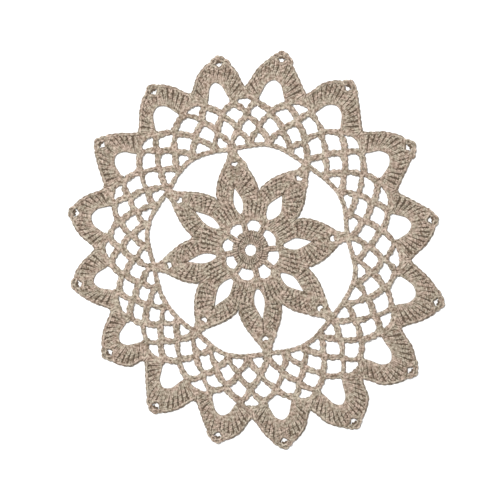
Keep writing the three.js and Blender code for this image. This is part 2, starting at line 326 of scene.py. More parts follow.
# Knots: short stitches that wrap round the chain at a joint
KNOT_STEPS = 14
KNOT_TURN_WIDTH = 2.18
KNOT_HALF_WIDTH = 2.8
THIRD_KNOT_HALF_WIDTH = 3.3
TIP_KNOT_HALF_WIDTH = 3.6
RING_KNOT_HALF_WIDTH = 3.7
KNOT_REACH = 3.8
RING_KNOT_REACH = 2.4
NOTCH_KNOT_REACH = 4.6
KNOT_DEPTH = 0.72
KNOT_TAPER = 0.25
KNOT_LEAN = 0.25
KNOT_UNEVEN = 0.08
KNOT_IN = 0.9
RING_KNOT_OUT = 1.9
TIP_KNOT_DROP = 3.2
SEAM_KNOT_RISE = 2.5
SLIT_KNOT_DROP = 2.4
NOTCH_KNOT = 0.55

# For the ground behind them: routes of the chains, routes and half widths of the knots, base, top
# and count of the rows, and creases at the ends of the slits and at the tips of the scallops, where a dark
# tape of ground is painted shade
CHAINS = []
KNOTS = []
ROWS = []
SHADE_CREASES = []


def eased(path):
    """A path with its sharpest turns rounded off."""
    inner = (path[:-2] + 2 * path[1:-1] + path[2:]) / 4
    return np.vstack([path[:1], inner, path[-1:]])


def chain(route, count, half_width=CHAIN_HALF_WIDTH, roll=CHAIN_ROLL):
    """The yarn of a row of chain stitches along a route."""
    CHAINS.append(route)
    stitch = np.vstack([CHAIN_LOOP, CHAIN_BUMP])
    rows = np.vstack([stitch + (i, 0, 0) for i in range(count)] + [CHAIN_LOOP[:1] + (count, 0, 0)])
    curve = spline(rows, CHAIN_CURVE_STEPS)
    dense = np.linspace(0, 1, len(curve))
    wanted = np.linspace(0, 1, count * CHAIN_STEPS + 1)
    x, y, z = (np.interp(wanted, dense, curve[:, k]) for k in range(3))
    stations = np.arange(count + 2)
    turn = np.interp(x, stations, rng.normal(rng.normal(0, roll), roll, count + 2))
    wide = np.interp(x, stations, rng.normal(1, CHAIN_WIDTH_UNEVEN, count + 2)) * half_width
    walked = np.concatenate([[0], np.cumsum(rng.normal(1, CHAIN_PITCH_UNEVEN, count + 2))])
    share = np.interp(x, range(len(walked)), walked) / np.interp(x.max(), range(len(walked)), walked)
    sideways = y * wide * np.cos(turn) - z * np.sin(turn)
    upward = z * np.cos(turn) + y * wide * np.sin(turn) * ROLL_LIFT
    place = route.at(share) + left_of(route.ahead(share)) * sideways[:, None]
    return np.column_stack([place, MID_HEIGHT + upward])


def chained(route, **options):
    return chain(route, max(CHAIN_LEAST, round(route.length / CHAIN_PITCH)), **options)


def leg(run, side, pitches, plain):
    """A leg of a post at some heights: height, sideways and forward. Legs of plain posts spread evenly."""
    gap = np.interp(run, *zip(*GAPS))
    pitch = mix(*pitches, run)
    width = np.maximum(pitch / 4 if plain else pitch / 2 - ROW_YARN_RADIUS - gap / 2, LEG_LEAST)
    splayed = smooth((run - LEG_SPLAY) / (LEG_TOP - LEG_SPLAY))
    return np.column_stack([run, side * mix(width, LEG_SPREAD * pitches[1], splayed), np.zeros_like(run)])


def wrap(start, pitches, over):
    """One turn of a leg round its post, across the front, on to the next post's edge, and back behind."""
    turned = np.linspace(0, 1, WRAP_STEPS)
    angle = np.pi * (1 - 2 * turned)
    run, narrow = start[0], abs(start[1])
    widest = (mix(*pitches, run) / 2 - ROW_YARN_RADIUS + over) * rng.normal(1, WRAP_WIDTH_UNEVEN)
    reach = mix(narrow, widest, np.sin(np.pi * turned))
    forward = WRAP_FORWARD + WRAP_DEPTH * np.sin(angle)
    return np.column_stack([run + WRAP_RISE * turned, reach * np.cos(angle), forward])


def post(pitches, wraps, over):
    """Height, sideways and forward along the two legs of a post, down the first and up the second."""
    run = np.linspace(LEG_FOOT, LEG_TOP, LEG_STEPS)
    plain = not wraps
    down, up = leg(run[::-1], 1, pitches, plain), leg(run, -1, pitches, plain)
    for height in wraps:
        low = height + rng.normal(0, WRAP_HEIGHT_UNEVEN)
        turn = wrap(leg(np.array([low]), -1, pitches, plain)[0], pitches, over)
        up = np.vstack([up[up[:, 0] < low], turn, up[up[:, 0] > low + WRAP_RISE]])
    foot = leg(np.zeros(2), FOOT_SHARE, pitches, plain) * [(1, 1, 1), (1, -1, 1)]
    return np.vstack([down, foot, up])


def tall_stitches(base, top, count, stagger=0.0, wraps=WRAPS, rim_sink=0.0, over=WRAP_OVER):
    """The yarn of a row of tall stitches, anticlockwise, that stand on one route and reach the other."""
    ROWS.append((base, top, count))
    pitches = (base.length / count, top.length / count)
    path = []
    for i in range(count):
        loop = CHAIN_LOOP + (i, 0, 0)
        share = loop[:, 0] / count
        leaning = loop[:, 1] * RIM_HALF_WIDTH * rng.normal(1, RIM_UNEVEN)
        out = loop[:, 2] * np.cos(RIM_TILT) - leaning * np.sin(RIM_TILT)
        height = loop[:, 2] * np.sin(RIM_TILT) + leaning * np.cos(RIM_TILT)
        rim = top.at(share) - left_of(top.ahead(share)) * out[:, None]
        path.append(np.column_stack([rim, MID_HEIGHT - rim_sink + height]))

        middle = (i + 0.5) / count
        head = top.at(middle) + rng.normal(0, HEAD_UNEVEN, 2)
        foot = base.at(middle) + rng.normal(0, FOOT_UNEVEN, 2)
        run, sideways, forward = post(pitches, wraps, over if i else END_WRAP_OVER).T
        run = run + rng.normal(0, POST_UNEVEN) * smooth(run / POST_UNEVEN_ABOVE)
        lift = stagger * (1 if i % 2 else -1) * (1 - run)
        across = -left_of(head - foot) / np.linalg.norm(head - foot)
        place = mix(foot, head, run[:, None]) + across * sideways[:, None]
        path.append(np.column_stack([place, MID_HEIGHT + forward + lift]))
    return eased(np.vstack(path))


def strand_along(route):
    """A plain strand of yarn along a route, which the feet of the stitches beside it stand on."""
    share = np.linspace(0, 1, STRAND_STEPS)
    return np.column_stack([route.at(share), np.full(STRAND_STEPS, MID_HEIGHT)])


def row_of(base, top, **options):
    return tall_stitches(base, top, max(ROW_LEAST, round(top.length / EDGE_PITCH)), **options)


def knot(place, along, reach=KNOT_REACH, half_width=KNOT_HALF_WIDTH):
    """A short stitch that wraps round the chain at a joint."""
    KNOTS.append((Route([place - left_of(along) * reach, place + left_of(along) * reach]), half_width))
    t = np.linspace(0, 1, round(KNOT_STEPS * half_width))
    angle = 4 * np.pi * half_width / KNOT_TURN_WIDTH * t + rng.uniform(0, 2 * np.pi)
    spread = (t - 0.5) * 2 * half_width
    reach = reach * rng.normal(1, KNOT_UNEVEN) * (1 - KNOT_TAPER * (2 * t - 1) ** 2)
    lean = rng.normal(0, KNOT_LEAN)
    flat = place + along * (spread + lean * np.cos(angle))[:, None]
    flat = flat + left_of(along) * (reach * np.cos(angle))[:, None]
    return np.column_stack([flat, MID_HEIGHT + KNOT_DEPTH * np.sin(angle)])


# Routes of the edging and the flower

# How far into the cloth the yarn runs, from the edge of the scallops, petals, openings and slits
EDGE_INSET = 1.4
PETAL_INSET = 1.9
OPENING_INSET = -0.22
SLIT_INSET = 1.1
SLIT_STRAND_INSET = 1.0
INSET_STEPS = 80
INSET_REACH = 0.02

# Eyelets: how far below the tip they lie, half width of the row's arch under them, and the points of
# that arch, as shares of the half width across and millimetres out
SCALLOP_EYELET_DROP = 9.7
PETAL_EYELET_DROP = 14.1
SCALLOP_ARCH = 2.4
PETAL_ARCH = 2.6
EYELET_ARCH = [(1.1, 0.8), (0.5, -1.4)]

# Chains at the tips, and creases of painted shade inside them: how far across and how far out from the tip
# their points lie
TIP_ROLL = 0.2
SCALLOP_TIP = [(9.9, -10.7), (6.9, -7.9), (4.2, -5.5), (2.2, -3.9)]
SCALLOP_TIP_TOP = -3.1
SCALLOP_TIP_HALF_WIDTH = 1.7
SCALLOP_SHADE_CREASE = [(2.4, -7.2)]
SCALLOP_SHADE_CREASE_TOP = -6.0
PETAL_TIP = [(9.4, -18.6), (7.2, -14.6), (4.8, -11.0), (3.0, -7.6), (1.9, -4.0), (1.8, -0.5)]
PETAL_TIP_HALF_WIDTH = 1.5
PETAL_NECK = (-5.5, -11.2)
PETAL_NECK_HALF_WIDTH = 1.3

# Slits: the seam between fan and petal, the half outline of the slit past it, as shares of the way to
# the slit's middle and to its end, the crease beyond its end, and the widest place of the whole slit
SEAM_SHARE = 0.52
PETAL_BELOW_SEAM = 0.5
SLIT_FOOT = -0.15
SLIT_BELOW_SEAM = 1.5
SLIT_HALF = (0.5, 0.6)
SLIT_TOP = 0.92
SLIT_CREASE = 5.0
SLIT_CREASE_OVERLAP = 1
SLIT_WIDEST = 0.43
SLIT_SPREAD = 1.1

# Openings of the scallops, and the small gaps between two openings
OPENING_FLOOR = 4.1
OPENING_FOOT = 0.3
OPENING_WIDEST = 0.35
OPENING_STRAIGHT = 3
OPENING_SHOULDER = 0.74
OPENING_NARROW = 0.62
SMALL_GAP_RISE = 6
SMALL_GAP_DROP = 1.6

# Loops of the net: how far their feet start out from a joint, their tops pass inside one and their
# sides bulge
RING_FOOT = 3.2
FIRST_FOOT = 1.0
SECOND_FOOT = -0.5
SECOND_FOOT_BELOW_NOTCH = -0.8
FIRST_APEX = 1.9
SECOND_APEX = 3.6
THIRD_APEX = 2.6
LOOP_BULGE = 1.3

# Points of an arc, and degrees between the points of a closed round
ARC_POINTS = 9
OVAL_STEP = 6


def moved(route, inward):
    """A route shifted to its left, which is inward for a route that runs anticlockwise."""
    share = np.linspace(0, 1, INSET_STEPS)
    return Route(route.at(share) + left_of(route.ahead(share, INSET_REACH)) * inward, steps=2)


def beside(tip, radius, across, out):
    """A place near a tip, measured across the tip's direction and out along it."""
    direction = polar(tip, 1)
    return direction * (radius + out) + left_of(direction) * across


def under_eyelet(tip, eyelet, reach):
    """Edge from beside the eyelet at a tip to below it."""
    return [beside(tip, eyelet, share * reach, out) for share, out in EYELET_ARCH]


def scallop_side(row, shoulder, notch, notch_radius):
    def at(angle, height):
        return polar(angle, mix(notch_radius, row["tip_radius"], height))
    return [
        polar(notch, notch_radius),
        at(mix(notch, shoulder, SCALLOP_LOW[1]), SCALLOP_LOW[0]),
        at(shoulder, SCALLOP_HALF),
        at(mix(shoulder, row["tip"], SCALLOP_HIGH[1]), SCALLOP_HIGH[0]),
    ]


def scallop_edge(index):
    """Outer edge of a scallop, from the notch before it to the notch after it, below its eyelet."""
    row, before = SCALLOPS[index], around(SCALLOPS, index - 1)
    eyelet = row["tip_radius"] - SCALLOP_EYELET_DROP
    rising = scallop_side(row, row["rise"], angle_of(SCALLOPS, index - 1, "notch"), before["notch_radius"])
    falling = scallop_side(row, row["fall"], row["notch"], row["notch_radius"])
    rising += under_eyelet(row["tip"], eyelet, -SCALLOP_ARCH)
    falling += under_eyelet(row["tip"], eyelet, SCALLOP_ARCH)
    return moved(Route(rising + falling[::-1]), EDGE_INSET)


def opening_edge(index):
    """Inner edge of a scallop, from the net joint before its opening to the one after it."""
    row = SCALLOPS[index]
    middle = midway(row["open_from"], row["open_to"])
    lowest = net_radius(middle, SECOND_ROUND) + OPENING_FLOOR
    widest = mix(lowest, row["open_top"], OPENING_WIDEST)
    shoulder = mix(widest, row["open_top"], OPENING_SHOULDER)

    def side(edge, joint):
        return [
            mix(joint, polar(edge, widest), OPENING_FOOT),
            polar(edge, widest + OPENING_STRAIGHT),
            polar(mix(middle, edge, OPENING_NARROW), shoulder),
        ]
    low = side(row["open_from"], joint_before(index))
    high = side(row["open_to"], joint_after(index))
    return moved(Route(low + [polar(middle, row["open_top"])] + high[::-1]), -OPENING_INSET)


def seam_radius(petal):
    return mix(petal["slit_root"], petal["slit_end"], SEAM_SHARE)


def petal_edge(index):
    """Outer edge of a petal, from the seam in the notch before it to the one after it."""
    row, before = PETALS[index], around(PETALS, index - 1)
    eyelet = row["joint"] - PETAL_EYELET_DROP

    def side(notch, radius, sign):
        points = [polar(notch, seam_radius(row) - PETAL_BELOW_SEAM), polar(notch, radius)]
        for height, angle in PETAL_SIDE:
            points.append(polar(mix(row["tip"], notch, angle), mix(radius, row["joint"], height)))
        return points + under_eyelet(row["tip"], eyelet, sign * PETAL_ARCH)
    rising = side(angle_of(PETALS, index - 1, "notch"), before["notch_radius"], -1)
    falling = side(row["notch"], row["notch_radius"], 1)
    return moved(Route(rising + falling[::-1]), PETAL_INSET)


def slit_edge(index):
    """Inner edge of a petal, round the outer part of its slit."""
    row = PETALS[index]
    middle = midway(row["slit_from"], row["slit_to"])
    seam = seam_radius(row)
    end = polar(middle, row["slit_end"] + SLIT_CREASE)

    def side(edge):
        return [
            polar(mix(edge, middle, SLIT_FOOT), seam - SLIT_BELOW_SEAM),
            polar(mix(edge, middle, SLIT_HALF[0]), mix(seam, row["slit_end"], SLIT_HALF[1])),
            polar(mix(edge, middle, SLIT_TOP), row["slit_end"]),
        ]
    # A dark ground tape along the crease beyond the slit's end, as painted shade
    SHADE_CREASES.append(Route([polar(middle, row["slit_end"] - SLIT_CREASE_OVERLAP), end]))
    return moved(Route(side(row["slit_from"]) + [end] + side(row["slit_to"])[::-1]), -SLIT_INSET)


def slit_round(row):
    """All round the slit of a petal, from its outer end and back to it."""
    middle = midway(row["slit_from"], row["slit_to"])
    widest = mix(row["slit_root"], row["slit_end"], SLIT_WIDEST)
    end = polar(middle, row["slit_end"])
    near, far = (polar(mix(middle, row[key], SLIT_SPREAD), widest) for key in ("slit_from", "slit_to"))
    return moved(Route([end, far, polar(middle, row["slit_root"]), near, end]), -SLIT_STRAND_INSET)


def tip_side(tip, radius, table, sign):
    """Places beside a tip from a table of how far across and how far out they lie."""
    return [beside(tip, radius, sign * across, out) for across, out in table]


def scallop_tip(row):
    """Chain along the edge over the eyelet of a scallop."""
    def over_tip(table, top):
        near, far = (tip_side(row["tip"], row["tip_radius"], table, sign) for sign in (-1, 1))
        return Route(near + [beside(row["tip"], row["tip_radius"], 0, top)] + far[::-1])
    # A dark ground tape along the outer side of the eyelet, as painted shade
    SHADE_CREASES.append(over_tip(SCALLOP_SHADE_CREASE, SCALLOP_SHADE_CREASE_TOP))
    route = over_tip(SCALLOP_TIP, SCALLOP_TIP_TOP)
    return chained(route, half_width=SCALLOP_TIP_HALF_WIDTH, roll=TIP_ROLL)


def petal_tip(row, sign):
    """Chain up one side of a petal's tip to the chain ring."""
    route = Route(tip_side(row["tip"], row["joint"], PETAL_TIP, sign))
    return chained(route, half_width=PETAL_TIP_HALF_WIDTH, roll=TIP_ROLL)


def petal_neck(row):
    """Chain down the middle of a petal's tip, from the chain ring to the eyelet."""
    route = Route([beside(row["tip"], row["joint"], 0, out) for out in PETAL_NECK])
    return chained(route, half_width=PETAL_NECK_HALF_WIDTH, roll=TIP_ROLL)


def arc(from_angle, to_angle, radius, to_radius=None):
    ends = (radius, radius if to_radius is None else to_radius)
    shares = np.linspace(0, 1, ARC_POINTS)
    return Route([polar(mix(from_angle, to_angle, s), mix(*ends, s)) for s in shares], steps=4)


def oval(across, along):
    """A closed round with half widths along X and Y."""
    return Route([polar(a, 1) * (across, along) for a in range(0, FULL_TURN + 1, OVAL_STEP)], steps=2)


def outward(place, distance):
    return place * (1 + distance / np.linalg.norm(place))


def net_loop(start, top, end, foot, apex):
    """A chain loop of the net, from one foot over the joint at its top to the other foot. The feet
    start out from their joints, and the top passes inside the joint that hangs on it."""
    def rise(a, b):
        ahead = (b - a) / np.linalg.norm(b - a)
        return midway(a, b) - left_of(ahead) * LOOP_BULGE
    start, top, end = outward(start, foot), outward(top, -apex), outward(end, foot)
    return Route([start, rise(start, top), top, rise(top, end), end])


def second_foot(index):
    """Where the loops of the third round start."""
    return outward(second_joint(index), SECOND_FOOT_BELOW_NOTCH if index % 2 else SECOND_FOOT)


def tangent(place):
    return left_of(place / np.linalg.norm(place))


# Meshes

# The flower's middle in the part's frame, and the height that no yarn goes below
FLOWER_MIDDLE = np.array([-5.213, 0.06])
TABLE = 0.02

# Tubes: sides, how uneven the yarn's thickness is, a direction that no strand starts along, which the
# first side is turned from, and how far the twist may be shifted along a strand
TUBE_SIDES = 6
THICKNESS_UNEVEN = 0.07
START_SIDE = (0.31, 0.17, 0.93)
TWIST_SHIFT = 50


def sweep(paths, radius):
    """Closed six-sided tubes along paths of equal length: vertices, four-cornered faces and coordinates
    round and along the yarn. Two faces close each end."""
    paths = np.asarray(paths)
    many, steps, _ = paths.shape
    ahead = np.gradient(paths, axis=1)
    ahead /= np.linalg.norm(ahead, axis=2, keepdims=True)
    side = np.empty_like(paths)
    carried = np.cross(ahead[:, 0], START_SIDE)
    for k in range(steps):
        carried = carried - (carried * ahead[:, k]).sum(1, keepdims=True) * ahead[:, k]
        carried = carried / np.linalg.norm(carried, axis=1, keepdims=True)
        side[:, k] = carried
    up = np.cross(ahead, side)
    turn = np.arange(TUBE_SIDES) * 2 * np.pi / TUBE_SIDES
    ring = side[:, :, None] * np.cos(turn)[:, None] + up[:, :, None] * np.sin(turn)[:, None]
    thick = rng.normal(1, THICKNESS_UNEVEN, (many, steps))
    thick = (np.roll(thick, 1, axis=1) + thick + np.roll(thick, -1, axis=1)) / 3
    corners = paths[:, :, None] + radius * thick[:, :, None, None] * ring
    corners[..., 2] = np.maximum(corners[..., 2], TABLE)

    index = np.arange(many * steps * TUBE_SIDES).reshape(many, steps, TUBE_SIDES)
    there = np.roll(index, -1, axis=2)
    walls = np.stack([index[:, :-1], there[:, :-1], there[:, 1:], index[:, 1:]], -1).reshape(-1, 4)
    first, last = index[:, 0], index[:, -1]
    caps = np.vstack([first[:, [0, 5, 4, 3]], first[:, [0, 3, 2, 1]],
                      last[:, [0, 1, 2, 3]], last[:, [0, 3, 4, 5]]])

    pieces = np.linalg.norm(np.diff(paths, axis=1), axis=2)
    length = np.concatenate([np.zeros((many, 1)), np.cumsum(pieces, axis=1)], axis=1)
    length += rng.uniform(0, TWIST_SHIFT, (many, 1))
    along = np.broadcast_to(length[:, :, None], (many, steps, TUBE_SIDES + 1))
    round_share = np.broadcast_to(np.arange(TUBE_SIDES + 1) / TUBE_SIDES, along.shape)
    uv = np.stack([round_share, along], -1)
    wall_uv = np.stack([uv[:, :-1, :-1], uv[:, :-1, 1:], uv[:, 1:, 1:], uv[:, 1:, :-1]], -2)
    cap_uv = np.zeros((len(caps), 4, 2))
    return corners.reshape(-1, 3), np.vstack([walls, caps]), np.vstack([wall_uv.reshape(-1, 4, 2), cap_uv])


def mesh_object(name, vertices, faces, uv, material, rounded):
    """An object in metres and in the part's frame, from points in millimetres round the flower's middle."""
    mesh = bpy.data.meshes.new(name)
    placed = (vertices + (*FLOWER_MIDDLE, 0)) * MM
    mesh.vertices.add(len(placed))
    mesh.vertices.foreach_set("co", placed.astype(np.float32).ravel())
    mesh.loops.add(faces.size)
    mesh.loops.foreach_set("vertex_index", faces.astype(np.int32).ravel())
    mesh.polygons.add(len(faces))
    mesh.polygons.foreach_set("loop_start", np.arange(0, faces.size, faces.shape[1], dtype=np.int32))
    mesh.polygons.foreach_set("use_smooth", np.full(len(faces), rounded))
    layer = mesh.uv_layers.new(name="yarn")
    layer.data.foreach_set("uv", uv.astype(np.float32).ravel())
    mesh.update(calc_edges=True)
    mesh.materials.append(material)
    piece = bpy.data.objects.new(name, mesh)
    bpy.context.scene.collection.objects.link(piece)
    return piece


def joined(parts):
    """Vertices and faces of several meshes as one."""
    offsets = np.cumsum([0] + [len(part[0]) for part in parts[:-1]])
    vertices = np.vstack([part[0] for part in parts])
    return vertices, np.vstack([part[1] + offset for part, offset in zip(parts, offsets)])


def yarn_piece(name, strands, radius):
    """One object from many yarn paths."""
    lengths = sorted({len(strand) for strand in strands})
    tubes = [sweep([strand for strand in strands if len(strand) == steps], radius) for steps in lengths]
    vertices, faces = joined(tubes)
    uv = np.vstack([tube_uv for _, _, tube_uv in tubes])
    return mesh_object(name, vertices, faces, uv, yarn, rounded=True)


# Materials

# Yarn: plies and the length of their turn, dark and light tones, tints of patches, and how far the
# grooves between plies and the middle of the cloth's thickness are darkened as painted shade
PLIES = 4
PLY_TURN = 6.5
PLY_HALF = 0.5
YARN_DARK = (0.18, 0.131, 0.09)
YARN_LIGHT = (0.606, 0.519, 0.428)
YARN_ROSY = (1.04, 0.97, 0.97)
YARN_OLIVE = (0.965, 0.995, 0.965)
DRIFT_SCALE = 450
DRIFT_DETAIL = 3
DRIFT_RANGE = (0.33, 0.67)
PATCH_SCALE = 210
PATCH_DETAIL = 2
PATCH_RANGE = (0.4, 0.6)
GROOVE_WIDTH = 0.3
GROOVE_SHADE_TONE = 0.68
MIDDLE_SHADE_RANGE = (0.2, 0.9)
MIDDLE_SHADE_TONE = 0.72
YARN_ROUGHNESS = 0.9
YARN_SPECULAR = 0.2
BUMP_STRENGTH = 0.6
BUMP_DISTANCE = 0.35
# Ground: its dark colour is painted shade for the recesses between the stitches
GROUND_SHADE_COLOR = (0.1, 0.07, 0.046)
GROUND_ROUGHNESS = 0.95

# Places of the sockets of a mix of colours
MIX_FACTOR = 0
MIX_FIRST = 6
MIX_SECOND = 7
MIX_RESULT = 2


def feed(tree, made, inputs):
    """Puts a fixed value, or a link from another node's result, on each named input of a node."""
    for slot, value in inputs.items():
        if isinstance(value, bpy.types.NodeSocket):
            tree.links.new(value, made.inputs[slot])
        else:
            made.inputs[slot].default_value = value


def node(tree, kind, inputs, **settings):
    made = tree.nodes.new(kind)
    for name, value in settings.items():
        setattr(made, name, value)
    feed(tree, made, inputs)
    return made


def ranged(tree, value, from_min, from_max, to_min, to_max):
    limits = {"From Min": from_min, "From Max": from_max, "To Min": to_min, "To Max": to_max}
    return node(tree, "ShaderNodeMapRange", {"Value": value, **limits}).outputs["Result"]


def computed(tree, operation, *values):
    return node(tree, "ShaderNodeMath", dict(enumerate(values)), operation=operation).outputs["Value"]


def mixed(tree, factor, first, second):
    inputs = {MIX_FACTOR: factor, MIX_FIRST: (*first, 1), MIX_SECOND: (*second, 1)}
    return node(tree, "ShaderNodeMix", inputs, data_type="RGBA").outputs[MIX_RESULT]


def multiplied(tree, first, second):
    inputs = {MIX_FACTOR: 1, MIX_FIRST: first, MIX_SECOND: second}
    made = node(tree, "ShaderNodeMix", inputs, data_type="RGBA", blend_type="MULTIPLY")
    return made.outputs[MIX_RESULT]


def noise(tree, place, scale, detail):
    inputs = {"Vector": place, "Scale": scale, "Detail": detail}
    return node(tree, "ShaderNodeTexNoise", inputs).outputs["Fac"]


def yarn_material(name, dark, light):
    """Matt mottled cotton: plies that twist round the yarn, with painted shade in the grooves between
    them, tones that drift along it, and painted shade that darkens it towards the middle of the cloth's
    thickness."""
    material = bpy.data.materials.new(name)
    material.use_nodes = True
    tree = material.node_tree
    place = node(tree, "ShaderNodeTexCoord", {}).outputs["Object"]
    height = node(tree, "ShaderNodeSeparateXYZ", {"Vector": place}).outputs["Z"]
    uv = node(tree, "ShaderNodeUVMap", {}, uv_map="yarn").outputs["UV"]
    yarn_place = node(tree, "ShaderNodeSeparateXYZ", {"Vector": uv}).outputs

    twist = computed(tree, "MULTIPLY", yarn_place["Y"], PLIES / PLY_TURN)
    climb = computed(tree, "MULTIPLY_ADD", yarn_place["X"], PLIES, twist)
    ply = computed(tree, "PINGPONG", climb, PLY_HALF)
    drift = ranged(tree, noise(tree, place, DRIFT_SCALE, DRIFT_DETAIL), *DRIFT_RANGE, 0, 1)
    patches = ranged(tree, noise(tree, place, PATCH_SCALE, PATCH_DETAIL), *PATCH_RANGE, 0, 1)
    tinted = multiplied(tree, mixed(tree, drift, dark, light), mixed(tree, patches, YARN_OLIVE, YARN_ROSY))

    # Painted shade in the grooves between the plies
    groove_shade = ranged(tree, ply, 0, GROOVE_WIDTH, GROOVE_SHADE_TONE, 1)
    # Painted shade towards the middle of the cloth's thickness, where the strands lie in each other's shade
    off_middle = computed(tree, "ABSOLUTE", computed(tree, "SUBTRACT", height, MID_HEIGHT * MM))
    middle_shade = ranged(tree, off_middle, MIDDLE_SHADE_RANGE[0] * MM, MIDDLE_SHADE_RANGE[1] * MM, MIDDLE_SHADE_TONE, 1)
    bump = {"Strength": BUMP_STRENGTH, "Distance": BUMP_DISTANCE * MM, "Height": ply}
    feed(tree, tree.nodes["Principled BSDF"], {
        "Base Color": multiplied(tree, tinted, computed(tree, "MULTIPLY", groove_shade, middle_shade)),
        "Roughness": YARN_ROUGHNESS,
        "Specular IOR Level": YARN_SPECULAR,
        "Normal": node(tree, "ShaderNodeBump", bump).outputs["Normal"],
    })
    return material


def plain_material(name, color, roughness):
    material = bpy.data.materials.new(name)
    material.use_nodes = True
    tree = material.node_tree
    feed(tree, tree.nodes["Principled BSDF"], {"Base Color": (*color, 1), "Roughness": roughness})
    return material


yarn = yarn_material("yarn", YARN_DARK, YARN_LIGHT)
ground_shade = plain_material("ground painted shade", GROUND_SHADE_COLOR, GROUND_ROUGHNESS)

# Stitches of the centre: two rounds, spokes, chain loops and fans

# Rounds, by their half widths along X and Y
CENTRE_BASE = (5.5, 5.6)
CENTRE_TOP = (10.4, 12.5)
CENTRE_STITCHES = 17
CENTRE_STAGGER = 0.3
CENTRE_SINK = 1.0
BAND = (13.7, 15.4)
BAND_KNOTS = 17
BAND_REACH = 2.0
BAND_HALF_WIDTH = 2.75

# Spokes, and the loops between them, with the points of a loop's top as shares of the way to the next
# spoke and millimetres out
SPOKE_WRAPS = (0.22, 0.5)
SPOKE_BASE = 15.8
SPOKE_PAST_LOOP = 1
SPOKE_HALF_ANGLE = 9.0
SPOKE_STITCHES = 2
LOOP_ABOVE_GAP = 1.0
LOOP_FOOT = 4.0
LOOP_TOP = [(0.3, -0.6), (0.5, 0), (0.7, -0.6)]
LOOP_HALF_WIDTH = 0.85

# Fans, which start and end some degrees off the slits
FAN_STITCHES = 6
FAN_STAGGER = 0.1
FAN_SINK = 0.6
FAN_START = 0.3
FAN_END = 2.2


def spoke_angle(index):
    return midway(angle_of(PETALS, index - 1, "loop_to"), angle_of(PETALS, index, "loop_from"))


def loop_radius(index):
    return around(PETALS, index)["loop_top"] + LOOP_ABOVE_GAP


hub = [tall_stitches(
    oval(*CENTRE_BASE), oval(*CENTRE_TOP), CENTRE_STITCHES,
    stagger=CENTRE_STAGGER, wraps=(), rim_sink=CENTRE_SINK)]
band = oval(*BAND)
shares = np.arange(BAND_KNOTS) / BAND_KNOTS
band_places = zip(band.at(shares), band.ahead(shares))
centre = [knot(place, along, BAND_REACH, BAND_HALF_WIDTH) for place, along in band_places]
fans = []
for i, petal in enumerate(PETALS):
    spoke, following = spoke_angle(i), spoke_angle(i + 1)
    spoke_top = midway(loop_radius(i - 1), loop_radius(i)) + SPOKE_PAST_LOOP
    across = SPOKE_HALF_ANGLE * SPOKE_BASE / spoke_top
    centre.append(tall_stitches(
        arc(spoke - SPOKE_HALF_ANGLE, spoke + SPOKE_HALF_ANGLE, SPOKE_BASE),
        arc(spoke - across, spoke + across, spoke_top),
        SPOKE_STITCHES, wraps=SPOKE_WRAPS))
    loop = Route([
        polar(spoke + across / 2, spoke_top - LOOP_FOOT),
        *(polar(mix(spoke, following, share), loop_radius(i) + out) for share, out in LOOP_TOP),
        polar(following - across / 2, spoke_top - LOOP_FOOT),
    ])
    centre.append(chained(loop, half_width=LOOP_HALF_WIDTH))
    fans.append(tall_stitches(
        loop,
        arc(petal["slit_to"] + FAN_START, angle_of(PETALS, i + 1, "slit_from") - FAN_END,
            seam_radius(petal), seam_radius(around(PETALS, i + 1))),
        FAN_STITCHES, stagger=FAN_STAGGER, rim_sink=FAN_SINK))

# Stitches of the petals, with the chains that their tips hang by

PETAL_STAGGER = 0.35
petals, petal_tips, slits = [], [], []
for i, petal in enumerate(PETALS):
    petals.append(row_of(
        slit_edge(i), petal_edge(i), stagger=PETAL_STAGGER, wraps=PETAL_WRAPS, over=PETAL_WRAP_OVER))
    petal_tips += [petal_tip(petal, -1), petal_tip(petal, 1), petal_neck(petal)]
    slits.append(strand_along(slit_round(petal)))

# Chain ring and net

RING_HALF_WIDTH = 1.2
RING_STEP = 3.75
ring_angles = np.arange(0, FULL_TURN + 1, RING_STEP)
ring_route = Route([polar(angle, ring_radius(angle)) for angle in ring_angles], steps=3)
ring = [chained(ring_route, half_width=RING_HALF_WIDTH)]
net_first, net_second, net_third, knots = [], [], [], []
for k in range(len(COLUMNS)):
    inner = (ring_joint(k), ring_joint(k + 1))
    net_first.append(chained(net_loop(inner[0], first_joint(k), inner[1], RING_FOOT, FIRST_APEX)))
    net_second.append(chained(
        net_loop(first_joint(k - 1), second_joint(k), first_joint(k), FIRST_FOOT, SECOND_APEX)))
    net_third.append(chained(net_loop(second_foot(k), third_joint(k), second_foot(k + 1), 0, THIRD_APEX)))
    place = outward(inner[0], RING_KNOT_OUT)
    knots.append(knot(place, tangent(place), RING_KNOT_REACH, RING_KNOT_HALF_WIDTH))
    for place in (first_joint(k), second_joint(k)):
        knots.append(knot(outward(place, -KNOT_IN), tangent(place)))
    place = third_joint(k)
    knots.append(knot(outward(place, -KNOT_IN), tangent(place), half_width=THIRD_KNOT_HALF_WIDTH))
for petal in PETALS:
    tip = polar(petal["tip"], petal["joint"] - TIP_KNOT_DROP)
    knots.append(knot(tip, tangent(tip), half_width=TIP_KNOT_HALF_WIDTH))
    notch = polar(petal["notch"], seam_radius(petal) + SEAM_KNOT_RISE)
    knots.append(knot(notch, tangent(notch)))
    root = polar(midway(petal["slit_from"], petal["slit_to"]), petal["slit_root"] - SLIT_KNOT_DROP)
    knots.append(knot(root, tangent(root), SLIT_KNOT_DROP))
